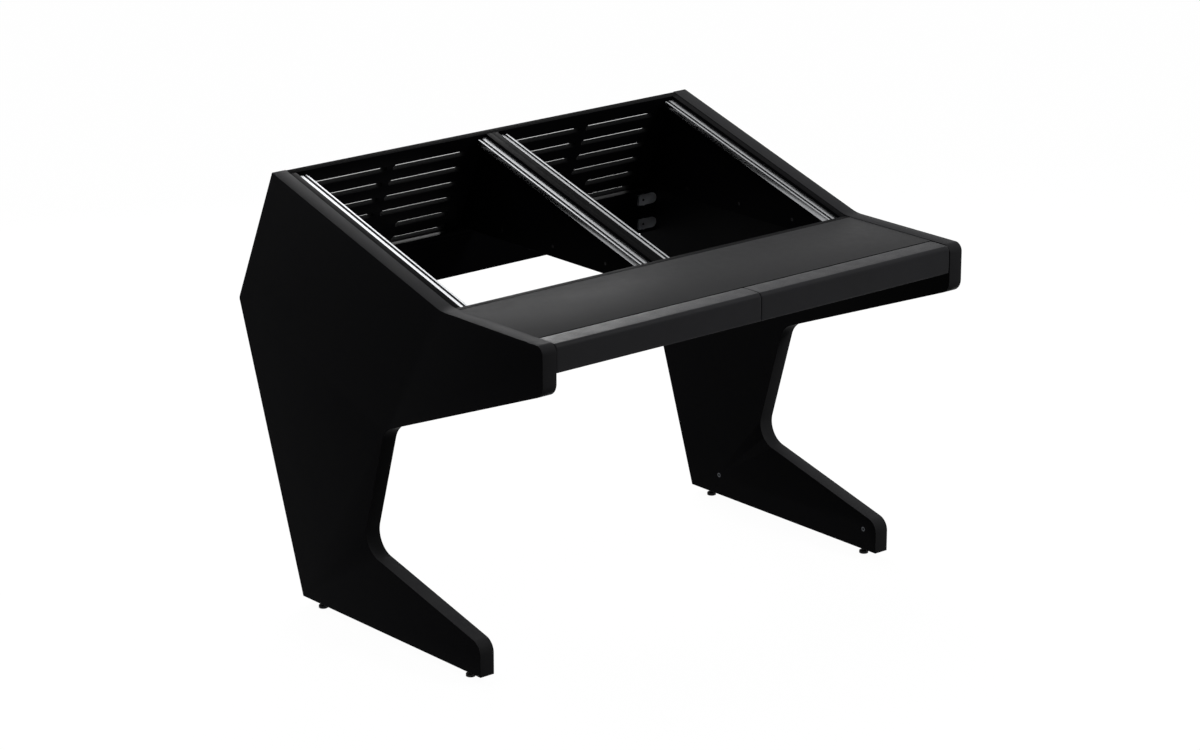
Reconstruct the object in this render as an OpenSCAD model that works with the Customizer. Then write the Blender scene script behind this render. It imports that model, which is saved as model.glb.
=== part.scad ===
// Studio desk with two sloped 12U rack bays above a sloping C-shaped pair of side panels.
// Millimetres. The origin is on the floor, below the middle of the desk's outer box.
// +X runs to the user's right, +Y to the rear and +Z up.

/* [Rack bays] */
// Clear width of each rack bay between its two boards
bay_w = 500; // [480:1:560]
// Thickness of the black boards of the bays, the front board and the vent board
board_t = 15; // [12:1:20]
// Step between a side panel's edge and the boards that it holds
reveal = 1; // [0.5:0.1:2]
// Height of the front board and depth of the bay boards below the desk surface
frame_h = 60; // [50:1:80]

/* [Side panels] */
// Thickness of a side panel
panel_t = 35; // [28:1:45]
// Height of the panels' level top edge above their foot edge
panel_top = 736.7; // [700:0.1:780]
// Reach of the nose in front of the toe
nose_reach = 199.2; // [160:0.1:230]
// Height of the nose's front edge
nose_h = 98.2; // [85:0.1:120]
// Length of the level top edge from the nose to the foot of the slope
level_len = 313.1; // [290:0.1:340]
// Angle of the rack slope above the level
slope_angle = 16.9; // [12:0.1:20]
// Length of the rack slope
slope_len = 581.2; // [560:0.1:640]
// Lean of the upper rear edge from the vertical
back_lean = 23.8; // [15:0.1:28]
// Length of the upper rear edge
back_len = 323.4; // [300:0.1:360]
// Length of the foot edge on the floor side
base_len = 597.7; // [560:0.1:640]
// Height of the toe's front edge
toe_h = 68.9; // [60:0.1:85]
// Depth of the instep behind the toe
instep_y = 383.4; // [370:0.1:410]
// Height of the instep above the foot edge
instep_z = 169.5; // [150:0.1:190]
// Depth of the knee corner behind the toe
knee_y = 302.8; // [280:0.1:330]
// Height of the knee corner above the foot edge
knee_z = 443; // [420:0.1:470]
// Radius at the rear elbow
elbow_r = 15; // [8:1:30]
// Radius at the top of the toe
toe_r = 30; // [20:1:45]
// Radius in the instep
instep_r = 50; // [30:1:70]
// Radius in the knee corner
knee_r = 50; // [30:1:70]
// Radius under the nose
nose_low_r = 28; // [15:1:40]
// Radius on top of the nose
nose_top_r = 18.5; // [10:0.5:25]
// Radius at the foot of the slope
slope_foot_r = 100; // [60:1:140]

/* [Rear boards] */
// Length of the vent board down the upper rear edge
vent_len = 310; // [290:1:312]
// Thickness of the lower back board
back_board_t = 20; // [16:1:25]
// Height of the lower back board
back_board_h = 100; // [90:1:130]
// Gap between the bay boards and the lower back board below them
back_drop = 2.2; // [0.5:0.1:6]
// Gap between the lower back board and the vent board behind it
back_gap = 5; // [1:0.5:15]

/* [Vent slots] */
// Height of a vent slot
slot_h = 13.5; // [10:0.5:22]
// Distance from one row of slots to the next
slot_pitch = 40; // [34:1:42]
// Distance from the top of the rear edge to the first row
slot_first = 34.2; // [24:0.1:40]
// Length of a long slot
slot_len = 195; // [150:1:200]
// Length of a slot in the short rows
slot_short = 142.8; // [100:0.1:150]
// Gap between the two columns of slots
slot_gap = 17.5; // [14:0.5:25]
// Distance from the bay's left board to the first column
slot_side = 50; // [30:0.5:55]

/* [Desk top] */
// Thickness of the desk top
desk_top_t = 25; // [22:1:30]

/* [Armrests] */
// Depth of an armrest from front to back
armrest_d = 55.9; // [45:0.1:65]
// Height of an armrest
armrest_h = 58; // [52:0.1:59]
// Radius of the padded front edge
armrest_r = 11; // [6:0.5:16]
// Crown of the padding on its top and front
armrest_crown = 0.8; // [0.3:0.1:2]
// Thickness of the wooden core
core_t = 18; // [15:1:22]
// Padding and covering over the core's top and bottom edges
cover_t = 3; // [2:0.5:5]

/* [Rack rails] */
// Width of a rail
rail_w = 25; // [23:0.5:27]
// Depth of a rail
rail_d = 12.8; // [12.5:0.1:16]
// Depth of a rail's face below the panels' slope
rail_drop = 7.2; // [3:0.1:12]
// Distance of the rails' upper ends from the slope's upper end
rail_top_gap = 21.5; // [20:0.1:40]
// Distance of the slot's centre from the rail's outer edge
channel_centre = 17.45; // [16.8:0.05:17.6]
// Width of the slot in the rail's face
channel_mouth = 6.3; // [6:0.1:7]
// Thickness of the lips beside the slot
channel_lip = 1.8; // [1.4:0.1:2]
// Width of a threaded strip
strip_w = 10; // [9:0.1:10.5]
// Thickness of a threaded strip
strip_t = 4.6; // [4:0.1:5]
// Core diameter of the M6 threads in a strip
strip_hole_d = 5; // [4.2:0.1:5.2]

/* [Feet] */
// Height of the desk on its feet when they are screwed right in
foot_h = 16; // [12:0.5:25]
// Diameter of a foot pad
foot_pad_d = 20; // [14:0.5:24]
// Height of a foot pad
foot_pad_h = 6; // [5:0.5:8]
// Diameter of the neck between a pad and the panel
foot_neck_d = 11; // [10:0.5:11.5]
// Length of the threaded shank inside the panel
foot_shank_len = 30; // [25:1:40]
// Distance of the front feet behind the toe
foot_front = 53.5; // [40:0.5:90]
// Distance of the rear feet in front of the heel
foot_rear = 47.7; // [35:0.1:90]

/* [Panel inserts] */
// Diameter of the threaded inserts in the panels' inner faces
insert_d = 10.2; // [9:0.1:12]
// Height of the inserts above the foot edge
insert_z = 46.3; // [40:0.1:52]
// Distance of the front inserts behind the toe
insert_front = 39.1; // [35:0.1:100]
// Distance of the rear inserts in front of the heel
insert_rear = 91.4; // [80:0.1:150]

/* [Connector plates] */
// Length of a connector plate
plate_len = 52; // [46:1:60]
// Height of a connector plate
plate_h = 24; // [20:1:28]
// Height of a connector plate over its two ears
plate_ear_h = 26.6; // [24.5:0.1:30]
// Thickness of the plate that stands proud of the board
plate_t = 4.3; // [3:0.1:6]
// Distance of the plates' centres from the board's long edges
plate_inset = 22; // [19:1:24]

/* [Hidden] */

// Colours of the finishes
laminate_black = "#171717";
leather_black = "#26262a";
rail_silver = "#c9cacc";
zinc_grey = "#8f9194";
strip_black = "#2c2d2f";
plastic_black = "#101010";
core_wood = "#b28d5c";
beech = "#c9a36f";

// Clearances: a screw, dowel or cam in its hole, a seat between pieces, a cut past a face
fit_gap = 0.05;
seat_gap = 0.3;
head_sink = 0.2;
cut_past = 1;
// Facet counts of small and larger round pieces, and the angle between points of an outline's arc
hole_fn = 32;
round_fn = 48;
arc_step = 2.5;

// Fixings: diameters and lengths
wood_screw_d = 4;
wood_screw_head_d = 7.6;
rail_screw_d = 5;
rail_screw_head_d = 9.2;
rail_screw_grip = 5.2;
dowel_d = 8;
dowel_half = 15;
front_dowel_grip = 9;
cam_d = 15;
cam_pin_d = 7;
cam_distance = 24;
cam_core = 4.5;
cam_recess_depth = 2;
bolt_thread_d = 5;
bolt_thread_len = 11;
insert_len = 13;
insert_bore_d = 5;
foot_sleeve_d = 13;
foot_sleeve_len = 25;
foot_thread_d = 8;
foot_spigot_len = 3;
foot_well_play = 0.5;
foot_well_past = 4;
plate_boss_d = 18;
plate_boss_len = 12;
plate_ear_w = 4;
plate_axis = 38.3;
plate_screw_d = 3;
plate_screw_depth = 3;

// Widths across the desk
left_bay_x = panel_t + board_t;
centre_x = left_bay_x + bay_w + board_t;
right_bay_x = centre_x + board_t;
desk_w = 2 * centre_x;
inner_w = desk_w - 2 * panel_t;

// Corners of the side panel's outline, in depth and height
slope_dir = [cos(slope_angle), sin(slope_angle)];
slope_down = [sin(slope_angle), -cos(slope_angle)];
back_dir = [sin(back_lean), -cos(back_lean)];
back_in = [-cos(back_lean), -sin(back_lean)];
slope_foot = [level_len - nose_reach, panel_top];
slope_head = slope_foot + slope_len * slope_dir;
elbow = slope_head + back_len * back_dir;
outline = [
    [slope_head[0], slope_head[1], 0],
    [elbow[0], elbow[1], elbow_r],
    [base_len, 0, 0],
    [0, 0, 0],
    [0, toe_h, toe_r],
    [instep_y, instep_z, instep_r],
    [knee_y, knee_z, knee_r],
    [-nose_reach, panel_top - nose_h, nose_low_r],
    [-nose_reach, panel_top, nose_top_r],
    [slope_foot[0], slope_foot[1], slope_foot_r]
];

// Corner i of an outline that runs clockwise, and the directions from it to its neighbours
function corner(c, i) = let (k = c[(i + len(c)) % len(c)]) [k[0], k[1]];
function toward(a, b) = (b - a) / norm(b - a);
function to_last(c, i) = toward(corner(c, i), corner(c, i - 1));
function to_next(c, i) = toward(corner(c, i), corner(c, i + 1));
function bulges(c, i) = cross(to_last(c, i), to_next(c, i)) > 0;
function half_angle(c, i) = acos(to_last(c, i) * to_next(c, i)) / 2;
// Centre of the arc that rounds corner i, and the arc's points from the last edge to the next
function arc_centre(c, i) = let (middle = to_last(c, i) + to_next(c, i))
    corner(c, i) + middle / norm(middle) * c[i][2] / sin(half_angle(c, i));
function arc(c, i) = let (
    centre = arc_centre(c, i),
    out = corner(c, i) - centre,
    sweep = (90 - half_angle(c, i)) * (bulges(c, i) ? -1 : 1),
    steps = ceil(abs(2 * sweep) / arc_step)
) [for (k = [0:steps]) let (angle = atan2(out[1], out[0]) - sweep + 2 * sweep * k / steps)
    centre + c[i][2] * [cos(angle), sin(angle)]];
function rounded(c) = [
    for (i = [0:len(c) - 1]) each (c[i][2] == 0 ? [corner(c, i)] : arc(c, i))
];
// Point where the line from p along u meets the line from q along v
function meet(p, u, q, v) = p + u * (cross(q - p, v) / cross(u, v));

// The frame's origin in the outline's coordinates
rear_y = arc_centre(outline, 1)[0] + elbow_r;
middle_y = (rear_y - nose_reach) / 2;

// Rows of long slots, above the short ones
long_rows = 4;

// Places of the boards, in depth and height
surface_z = panel_top - reveal;
frame_z = surface_z - frame_h;
bay_top_at = slope_foot + reveal * slope_down;
vent_outer_at = slope_head + reveal * back_in;
vent_inner_at = slope_head + (reveal + board_t) * back_in;
vent_top_outer = meet(vent_outer_at, back_dir, bay_top_at, slope_dir);
vent_top_inner = meet(vent_inner_at, back_dir, bay_top_at, slope_dir);
bay_front_y = slope_foot[0];
bay_front_top = meet([bay_front_y, 0], [0, 1], bay_top_at, slope_dir);
bay_rear_foot = meet(vent_inner_at, back_dir, [0, frame_z], [1, 0]);
front_board_y = bay_front_y - board_t;
back_board_top = frame_z - back_drop;
back_board_z = back_board_top - back_board_h;
vent_at_back_board = meet(vent_inner_at, back_dir, [0, back_board_top], [1, 0]);
back_board_y = vent_at_back_board[0] - back_gap - back_board_t;
armrest_front = -nose_reach + reveal;
armrest_back = armrest_front + armrest_d;
armrest_z = surface_z - seat_gap - armrest_h;
desk_top_y = armrest_back;
desk_top_d = front_board_y - desk_top_y;
desk_top_z = surface_z - desk_top_t;

// Rack rails: where they start on the slope, their length and the strips' holes
rail_start = (seat_gap - rail_drop * sin(slope_angle)) / cos(slope_angle);
rail_len = slope_len - rail_top_gap - rail_start;
rail_wall = 1.8;
rail_fixing_wall = 3.2;
channel_play = 0.2;
channel_w = strip_w + 2 * channel_play;
channel_floor = channel_lip + strip_t + 2 * channel_play;
unit_h = 44.45;
unit_holes = [6.35, 22.225, 38.1];
rack_units = floor(rail_len / unit_h);
strip_len = rack_units * unit_h;
strip_start = (rail_len - strip_len) / 2;
rail_screw_end = 60;
rail_screw_places = [rail_screw_end, rail_len / 2, rail_len - rail_screw_end];
// Each rail's outer edge across the desk, and the side to which the rail lies
rail_sites = [
    [left_bay_x, 1],
    [left_bay_x + bay_w, -1],
    [right_bay_x, 1],
    [right_bay_x + bay_w, -1]
];

// Bay screws: height above the boards' lower edge, distance of the outer ones from the boards' ends
bay_screw_up = 22.8;
bay_screw_end = 150;
bay_screw_short = 4;
bay_screw_grip = 20;
bay_screw_ys = [
    bay_front_y + bay_screw_end,
    (bay_front_y + bay_rear_foot[0]) / 2,
    bay_rear_foot[0] - bay_screw_end
];
bay_screw_places = [for (y = bay_screw_ys) [y, frame_z + bay_screw_up]];
bay_screw_len_inner = 2 * board_t - bay_screw_short;
bay_screw_len_outer = board_t + bay_screw_grip;

// Cams that pull the desk top and the front board to the side panels
desk_cam_inset = 45;
desk_cams = [
    [desk_top_y + desk_cam_inset, desk_top_z + desk_top_t / 2],
    [front_board_y - desk_cam_inset, desk_top_z + desk_top_t / 2]
];
front_cam_up = 19.5;
front_cam = [front_board_y + board_t / 2, frame_z + front_cam_up];

// Dowels in the boards' ends, as places on the side panels' inner faces
vent_middle = slope_head + (reveal + board_t / 2) * back_in;
vent_dowel_parts = [0.2, 0.5, 0.8];
vent_dowels = [for (part = vent_dowel_parts) vent_middle + part * vent_len * back_dir];
desk_dowel = [desk_top_y + desk_top_d / 2, desk_top_z + desk_top_t / 2];
front_dowel_down = 13;
front_dowel = [front_board_y + board_t / 2, surface_z - front_dowel_down];
rail_dowel = [desk_top_y + board_t / 2, (frame_z + desk_top_z) / 2];
back_dowel = [back_board_y + back_board_t / 2, back_board_z + back_board_h / 2];
// Dowels between the desk top and the front board, across the desk
front_dowel_xs = [panel_t + inner_w / 6, desk_w / 2, desk_w - panel_t - inner_w / 6];
front_dowel_z = desk_top_z + desk_top_t / 2;

// Connector plates at the lower back board's ends
plate_zs = [back_board_z + plate_inset, back_board_top - plate_inset];
connector_y = back_board_y + back_board_t / 2;
connector_bolt_len = plate_axis - plate_boss_d / 4 - seat_gap;

// Armrests, one from each side panel to the middle
armrest_len = inner_w / 2 - 2 * seat_gap;
core_end = 3;
core_len = armrest_len - 2 * core_end;
core_h = armrest_h - 2 * cover_t;
armrest_screw_end = 90;
armrest_screw_grip = 13;
armrest_xs = [panel_t + seat_gap, desk_w / 2 + seat_gap];
armrest_screw_xs = [
    for (x = armrest_xs, off = [armrest_screw_end, armrest_len - armrest_screw_end]) x + off
];
armrest_screw_z = (frame_z + desk_top_z) / 2;
// How far the padding draws in towards its ends: distance from the end, drawn in by
pad_ends = [[0, 2], [0.5, 1.1], [1.5, 0.4], [3.5, 0]];
pad_back_r = 2;
pad_arc_steps = 8;
pad_face_steps = 6;

// Feet: across the desk and in depth
foot_xs = [panel_t / 2, desk_w - panel_t / 2];
foot_ys = [foot_front, base_len - foot_rear];
foot_play = 0.2;
foot_well_len = foot_shank_len + foot_well_past;
pad_edge = 0.8;

// Moves from the outline's coordinates to the desk's own frame
module in_frame() {
    translate([-desk_w / 2, -middle_y, foot_h]) children();
}

// Draws a side view's outline out across the desk from x
module across(x, width) {
    translate([x, 0, 0]) rotate([90, 0, 90]) linear_extrude(width) children();
}

// Frame on the panels' slope: x across, y up the slope, z out of it
module on_slope() {
    translate([0, slope_foot[0], slope_foot[1]]) rotate([slope_angle, 0, 0]) children();
}

// Frame on the upper rear edge: x across, y down the edge, z out to the rear
module on_back() {
    translate([0, slope_head[0], slope_head[1]]) rotate([back_lean - 90, 0, 0]) children();
}

// Frame at a place on a side panel's inner face: x into the desk, for side 0 left and 1 right
module at_panel(side, place) {
    translate([side == 0 ? panel_t : desk_w - panel_t, place[0], place[1]])
        mirror([side, 0, 0]) children();
}

// Cylinder along x from a to b
module rod_x(d, a, b, fn = hole_fn) {
    translate([a, 0, 0]) rotate([0, 90, 0]) cylinder(d = d, h = b - a, $fn = fn);
}

// Hole from the face at x = 0 to -x, for a pin of that diameter and depth
module blind_hole_x(d, depth) {
    rod_x(d + 2 * fit_gap, -depth - seat_gap, cut_past);
}

// Hole from the face at x = 0 to +x, for a dowel's free half
module dowel_hole_x() {
    rod_x(dowel_d + 2 * fit_gap, -cut_past, dowel_half + seat_gap);
}

// Countersunk screw that enters a face at x = 0 and points to +x, its head just below the face
module screw_x(d, head_d, length) {
    difference() {
        translate([head_sink, 0, 0]) {
            rod_x(d, 0, length - head_sink);
            rotate([0, 90, 0]) cylinder(d1 = head_d, d2 = d, h = (head_d - d) / 2, $fn = hole_fn);
        }
        recess_x(head_d / 2, head_sink + (head_d - d) / 3);
    }
}

// Hole for that screw
module screw_hole_x(d, head_d, length) {
    rod_x(d + 2 * fit_gap, 0, length + seat_gap);
    rod_x(head_d + 2 * fit_gap, -cut_past, head_sink);
    wide = head_d + 2 * fit_gap;
    narrow = d + 2 * fit_gap;
    translate([head_sink, 0, 0]) rotate([0, 90, 0])
        cylinder(d1 = wide, d2 = narrow, h = (wide - narrow) / 2, $fn = hole_fn);
}

// Screw, or the hole for it
module screw_or_hole(is_hole, d, head_d, length) {
    if (is_hole) screw_hole_x(d, head_d, length);
    else screw_x(d, head_d, length);
}

// Cross recess at x = 0
module recess_x(width, depth) {
    for (turn = [0, 90])
        rotate([turn, 0, 0]) translate([-cut_past, -width / 2, -width / 8])
            cube([depth + cut_past, width, width / 4]);
}

// Places of the dowels on a side panel's inner face
module at_end_dowels(side) {
    for (place = concat(vent_dowels, [desk_dowel, front_dowel, rail_dowel, back_dowel]))
        at_panel(side, place) children();
}

// Places of the cams on a side panel's inner face
module at_desk_cams(side) {
    for (place = desk_cams) at_panel(side, place) children();
}

// Place of the front board's cam, which opens to the rear
module at_front_cam(side) {
    at_panel(side, front_cam) rotate([90, 0, 0]) children();
}

// Cam and its pin's hole, cut into a board of thickness t whose cam opens to -z
module cam_cut(t) {
    rod_x(cam_pin_d + 2 * fit_gap, -cut_past, cam_distance);
    translate([cam_distance, 0, -t / 2 - cut_past])
        cylinder(d = cam_d + 2 * fit_gap, h = t / 2 + cam_core + fit_gap + cut_past, $fn = round_fn);
}

// Cam lock, flush with the board's face, with the pin's hole and a cross recess
module cam_lock(t) {
    difference() {
        translate([cam_distance, 0, -t / 2]) cylinder(d = cam_d, h = t / 2 + cam_core, $fn = round_fn);
        rod_x(cam_pin_d + 2 * channel_play, 0, cam_distance);
        translate([cam_distance, 0, -t / 2]) rotate([0, -90, 0]) recess_x(cam_d / 2, cam_recess_depth);
    }
}

// Cam bolt: threaded into the side panel, with a pin that reaches into the cam
module cam_bolt() {
    rod_x(bolt_thread_d, -bolt_thread_len, 0);
    rod_x(cam_pin_d, 0, cam_distance - seat_gap);
}

// Frame of a connector: x into the desk from the side panel, z out of the board's front face
module at_connectors(side) {
    for (z = plate_zs) at_panel(side, [connector_y, z]) rotate([90, 0, 0]) children();
}

// Side panel with its blind holes, for side 0 left and 1 right
module side_panel(side) {
    difference() {
        across(side == 0 ? 0 : desk_w - panel_t, panel_t) polygon(rounded(outline));
        at_end_dowels(side) blind_hole_x(dowel_d, dowel_half);
        at_desk_cams(side) blind_hole_x(bolt_thread_d, bolt_thread_len);
        at_front_cam(side) blind_hole_x(bolt_thread_d, bolt_thread_len);
        at_connectors(side) blind_hole_x(bolt_thread_d, bolt_thread_len);
        all_bay_screws(true);
        at_inserts(side) blind_hole_x(insert_d, insert_len);
        for (y = foot_ys) translate([foot_xs[side], y, 0]) foot_hole();
    }
}

// Threaded inserts low on the side panel's inner face
module at_inserts(side) {
    for (y = [insert_front, base_len - insert_rear]) at_panel(side, [y, insert_z]) children();
}

// Stepped hole for a foot's sleeve and shank, up from the panel's foot edge
module foot_hole() {
    depth = foot_sleeve_len + seat_gap + cut_past;
    translate([0, 0, -cut_past]) cylinder(d = foot_sleeve_d + 2 * fit_gap, h = depth, $fn = round_fn);
    cylinder(d = foot_thread_d + 2 * foot_well_play, h = foot_well_len, $fn = hole_fn);
}

module left_side_panel() {
    color(laminate_black) in_frame() side_panel(0);
}

module right_side_panel() {
    color(laminate_black) in_frame() side_panel(1);
}

// Bay board from x, with the holes of the rails' and the boards' screws
module bay_board(x) {
    difference() {
        across(x, board_t)
            polygon([[bay_front_y, frame_z], bay_front_top, vent_top_inner, bay_rear_foot]);
        all_rail_screws(true);
        all_bay_screws(true);
    }
}

// Screws from the bay boards' hidden faces into the rails, or their holes
module all_rail_screws(is_hole) {
    for (i = [0:3], t = rail_screw_places)
        at_rail(i) translate([-board_t, t, -rail_d / 2])
            screw_or_hole(is_hole, rail_screw_d, rail_screw_head_d, board_t + rail_screw_grip);
}

// Screws that hold the bay boards to the side panels and to each other, or their holes
module all_bay_screws(is_hole) {
    for (place = bay_screw_places) {
        for (side = [0, 1])
            at_panel(side, place) translate([board_t, 0, 0]) rotate([0, 180, 0])
                screw_or_hole(is_hole, wood_screw_d, wood_screw_head_d, bay_screw_len_outer);
        translate([centre_x - board_t, place[0], place[1]])
            screw_or_hole(is_hole, wood_screw_d, wood_screw_head_d, bay_screw_len_inner);
    }
}

module left_bay_outer_board() {
    color(laminate_black) in_frame() bay_board(panel_t);
}

module left_bay_inner_board() {
    color(laminate_black) in_frame() bay_board(centre_x - board_t);
}

module right_bay_inner_board() {
    color(laminate_black) in_frame() bay_board(centre_x);
}

module right_bay_outer_board() {
    color(laminate_black) in_frame() bay_board(right_bay_x + bay_w);
}

// Board between the desk top and the bays
module front_board() {
    color(laminate_black) in_frame() difference() {
        translate([panel_t, front_board_y, frame_z]) cube([inner_w, board_t, frame_h]);
        for (side = [0, 1]) {
            at_front_cam(side) cam_cut(board_t);
            at_panel(side, front_dowel) dowel_hole_x();
        }
        front_dowels(true);
    }
}

// Dowels between the desk top's rear edge and the front board, or their holes
module front_dowels(is_hole) {
    around = is_hole ? 2 * fit_gap : 0;
    past = is_hole ? seat_gap : 0;
    for (x = front_dowel_xs)
        translate([x, front_board_y, front_dowel_z]) rotate([0, 0, 90])
            rod_x(dowel_d + around, -dowel_half - past, front_dowel_grip + past);
}

// Slot with round ends, from the origin along x
module slot_outline(length) {
    r = slot_h / 2;
    translate([r, -r]) square([length - 2 * r, slot_h]);
    for (x = [r, length - r]) translate([x, 0]) circle(r, $fn = round_fn);
}

// The slots of one bay, in the frame of the upper rear edge
module bay_slots(bay_x) {
    column = slot_len + slot_gap;
    rows = floor((vent_len - slot_first - 2 * slot_h) / slot_pitch);
    for (row = [0:rows - 1]) {
        is_long = row < long_rows;
        length = is_long ? slot_len : slot_short;
        indent = is_long ? 0 : slot_len - slot_short;
        for (start = [0, column + indent])
            translate([bay_x + slot_side + start, slot_first + slot_h / 2 + row * slot_pitch, 0])
                slot_outline(length);
    }
}

// Upper rear board with the vent slots
module vent_board() {
    color(laminate_black) in_frame() difference() {
        across(panel_t, inner_w)
            polygon([
                vent_top_outer,
                vent_top_inner,
                vent_inner_at + vent_len * back_dir,
                vent_outer_at + vent_len * back_dir
            ]);
        on_back() translate([0, 0, -reveal - board_t - cut_past])
            linear_extrude(board_t + 2 * cut_past)
                for (bay_x = [left_bay_x, right_bay_x]) bay_slots(bay_x);
        for (side = [0, 1], place = vent_dowels) at_panel(side, place) dowel_hole_x();
    }
}

// Lower back board between the side panels, held by the connectors
module lower_back_board() {
    color(laminate_black) in_frame() difference() {
        translate([panel_t, back_board_y, back_board_z]) cube([inner_w, back_board_t, back_board_h]);
        for (side = [0, 1]) {
            at_panel(side, back_dowel) dowel_hole_x();
            at_connectors(side) connector_cut();
        }
    }
}

// Desk top between the side panels, from the armrests to the front board
module desk_top() {
    color(laminate_black) in_frame() difference() {
        translate([panel_t, desk_top_y, desk_top_z]) cube([inner_w, desk_top_d, desk_top_t]);
        for (side = [0, 1]) {
            at_desk_cams(side) cam_cut(desk_top_t);
            at_panel(side, desk_dowel) dowel_hole_x();
        }
        front_dowels(true);
    }
}

// Rail below the desk top's front edge that carries the armrests
module front_rail() {
    color(laminate_black) in_frame() difference() {
        translate([panel_t, desk_top_y, frame_z]) cube([inner_w, board_t, desk_top_z - frame_z]);
        for (side = [0, 1]) at_panel(side, rail_dowel) dowel_hole_x();
        all_armrest_screws(true);
    }
}

// Screws forward from the front rail's rear face into the armrests' cores, or their holes
module all_armrest_screws(is_hole) {
    for (x = armrest_screw_xs)
        translate([x, desk_top_y + board_t, armrest_screw_z]) rotate([0, 0, -90])
            screw_or_hole(is_hole, wood_screw_d, wood_screw_head_d, board_t + armrest_screw_grip);
}

// Wooden core of the armrest that starts at x
module armrest_core(x) {
    difference() {
        translate([x + core_end, armrest_back - core_t, armrest_z + cover_t])
            cube([core_len, core_t, core_h]);
        all_armrest_screws(true);
    }
}

// One section of the padding, drawn in by a little: depth from the back, height from the bottom
function pad_section(draw) = let (
    front = armrest_d - armrest_crown - draw,
    top = armrest_h - armrest_crown - draw,
    arc_y = front - armrest_r,
    arc_z = top - armrest_r
) concat(
    [[seat_gap, draw], [front, draw]],
    [for (k = [1:pad_face_steps - 1]) let (part = k / pad_face_steps)
        [front + armrest_crown * sin(180 * part), draw + (arc_z - draw) * part]],
    [for (k = [0:pad_arc_steps]) let (angle = 90 * k / pad_arc_steps)
        [arc_y + armrest_r * cos(angle), arc_z + armrest_r * sin(angle)]],
    [for (k = [1:pad_face_steps - 1]) let (part = k / pad_face_steps)
        [arc_y + (pad_back_r - arc_y) * part, top + armrest_crown * sin(180 * part)]],
    [[pad_back_r, top], [seat_gap, top - pad_back_r]]
);

// Padding of the armrest that starts at x, open at the back for its core
module armrest_pad(x) {
    places = concat(
        [for (e = pad_ends) e],
        [for (k = [len(pad_ends) - 1:-1:0]) [armrest_len - pad_ends[k][0], pad_ends[k][1]]]
    );
    rings = [for (p = places)
        [for (q = pad_section(p[1])) [x + p[0], armrest_back - q[0], armrest_z + q[1]]]];
    n = len(rings[0]);
    last = len(rings) - 1;
    difference() {
        polyhedron(
            points = [for (ring = rings) each ring],
            faces = concat(
                [for (k = [1:n - 2]) [0, k, k + 1]],
                [for (k = [1:n - 2]) [last * n, last * n + k + 1, last * n + k]],
                [for (r = [0:last - 1], k = [0:n - 1])
                    let (j = (k + 1) % n) [r * n + k, (r + 1) * n + k, (r + 1) * n + j]],
                [for (r = [0:last - 1], k = [0:n - 1])
                    let (j = (k + 1) % n) [r * n + k, (r + 1) * n + j, r * n + j]]
            )
        );
        translate([x + core_end, armrest_back - core_t, armrest_z + cover_t] - seat_gap * [1, 1, 1])
            cube([core_len + 2 * seat_gap, core_t + seat_gap + cut_past, core_h + 2 * seat_gap]);
    }
}

module left_armrest_core() {
    color(core_wood) in_frame() armrest_core(armrest_xs[0]);
}

module right_armrest_core() {
    color(core_wood) in_frame() armrest_core(armrest_xs[1]);
}

module left_armrest_pad() {
    color(leather_black) in_frame() armrest_pad(armrest_xs[0]);
}

module right_armrest_pad() {
    color(leather_black) in_frame() armrest_pad(armrest_xs[1]);
}

// Section of a rail: x from the outer edge, y below the face
module rail_section() {
    channel_x = channel_centre - channel_w / 2;
    difference() {
        translate([0, -rail_d]) square([rail_w, rail_d]);
        // Slot and channel for the threaded strip
        translate([channel_centre - channel_mouth / 2, -channel_lip - cut_past])
            square([channel_mouth, channel_lip + 2 * cut_past]);
        translate([channel_x, -channel_floor]) square([channel_w, channel_floor - channel_lip]);
        // Closed chamber beside the channel, with a thick wall for the fixing screws
        translate([rail_fixing_wall, -rail_d + rail_wall])
            square([channel_x - rail_wall - rail_fixing_wall, rail_d - 2 * rail_wall]);
        // Relief below the channel
        translate([channel_x, -rail_d - cut_past])
            square([rail_w - rail_wall - channel_x, rail_d - channel_floor - rail_wall + cut_past]);
    }
}

// Frame of rail i: x from its outer edge towards the bay's middle, y up the slope, z out
module at_rail(i) {
    on_slope() translate([rail_sites[i][0], rail_start, -rail_drop])
        mirror([rail_sites[i][1] > 0 ? 0 : 1, 0, 0]) children();
}

// Rail i with the tapped holes for its fixing screws
module rack_rail(i) {
    at_rail(i) difference() {
        translate([0, rail_len, 0]) rotate([90, 0, 0]) linear_extrude(rail_len) rail_section();
        for (t = rail_screw_places) translate([0, t, -rail_d / 2])
            rod_x(rail_screw_d + 2 * fit_gap, -cut_past, rail_fixing_wall + cut_past);
    }
}

module left_bay_left_rail() {
    color(rail_silver) in_frame() rack_rail(0);
}

module left_bay_right_rail() {
    color(rail_silver) in_frame() rack_rail(1);
}

module right_bay_left_rail() {
    color(rail_silver) in_frame() rack_rail(2);
}

module right_bay_right_rail() {
    color(rail_silver) in_frame() rack_rail(3);
}

// Threaded strip in rail i, with three holes to each rack unit
module threaded_strip(i) {
    at_rail(i) translate([channel_centre, strip_start, -channel_lip - channel_play]) difference() {
        translate([-strip_w / 2, 0, -strip_t]) cube([strip_w, strip_len, strip_t]);
        for (unit = [0:rack_units - 1], hole = unit_holes)
            translate([0, unit * unit_h + hole, -strip_t - cut_past])
                cylinder(d = strip_hole_d, h = strip_t + 2 * cut_past, $fn = 24);
    }
}

module left_bay_left_strip() {
    color(strip_black) in_frame() threaded_strip(0);
}

module left_bay_right_strip() {
    color(strip_black) in_frame() threaded_strip(1);
}

module right_bay_left_strip() {
    color(strip_black) in_frame() threaded_strip(2);
}

module right_bay_right_strip() {
    color(strip_black) in_frame() threaded_strip(3);
}

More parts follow.
